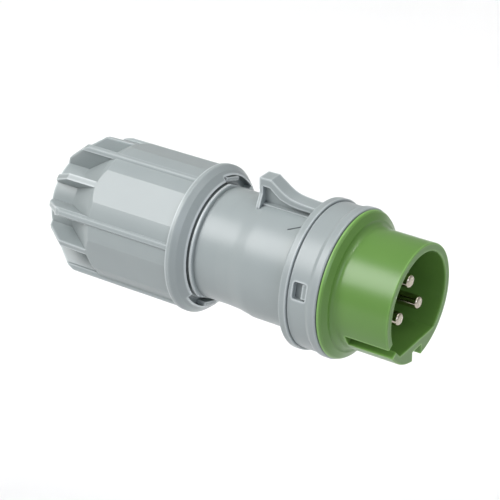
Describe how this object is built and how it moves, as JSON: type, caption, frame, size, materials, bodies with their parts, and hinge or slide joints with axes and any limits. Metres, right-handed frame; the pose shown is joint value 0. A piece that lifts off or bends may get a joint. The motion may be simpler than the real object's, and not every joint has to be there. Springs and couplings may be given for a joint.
{
  "type": "pin and sleeve plug",
  "caption": "Cylindrical industrial plug with a keyed sleeve round contact pins, a flanged collar, a cover hook and a ribbed cable gland nut.",
  "frame": {"origin": "on the plug's axis in the plane of the sleeve's front rim", "axes": "+X along the axis, out of the sleeve's mouth; +Z towards the cover hook; the major keyway is at -Z"},
  "size_m": [0.148, 0.0562, 0.0607],
  "materials": {
    "grey_shell": "satin light grey polyamide",
    "green_insert": "satin green polyamide",
    "nickel_plate": "nickel-plated brass",
    "zinc_plate": "zinc-plated steel",
    "black_rubber": "matt black rubber",
    "black_plastic": "matt black polyamide",
    "white_plastic": "natural polyamide"
  },
  "bodies": {
    "shell": {"housing": "grey_shell", "contact_carrier": "green_insert", "collar_seal": "black_rubber", "locking_slide": "grey_shell", "pin_top": "nickel_plate", "pin_left": "nickel_plate", "pin_right": "nickel_plate", "terminal_screw_top": "zinc_plate", "terminal_screw_left": "zinc_plate", "terminal_screw_right": "zinc_plate", "pin_holder": "black_plastic", "holder_screw": "zinc_plate", "clamp_cage": "black_plastic", "cable_seal": "black_rubber", "seal_insert": "black_rubber"},
    "slip_ring": {"slip_ring": "white_plastic"},
    "gland_nut": {"gland_nut": "grey_shell"}
  },
  "joints": [
    {"name": "nut_travel", "type": "slide", "parent": "shell", "child": "slip_ring", "axis": [-1, 0, 0], "range_m": [0, 0.012]},
    {"name": "nut_turn", "type": "hinge", "parent": "slip_ring", "child": "gland_nut", "pos_m": [-0.1, 0, 0], "axis": [-1, 0, 0], "range_deg": [0, 1080]}
  ],
  "couplings": [
    {"joint": "nut_turn", "follows": "nut_travel", "rad_per_m": 1570.8}
  ]
}
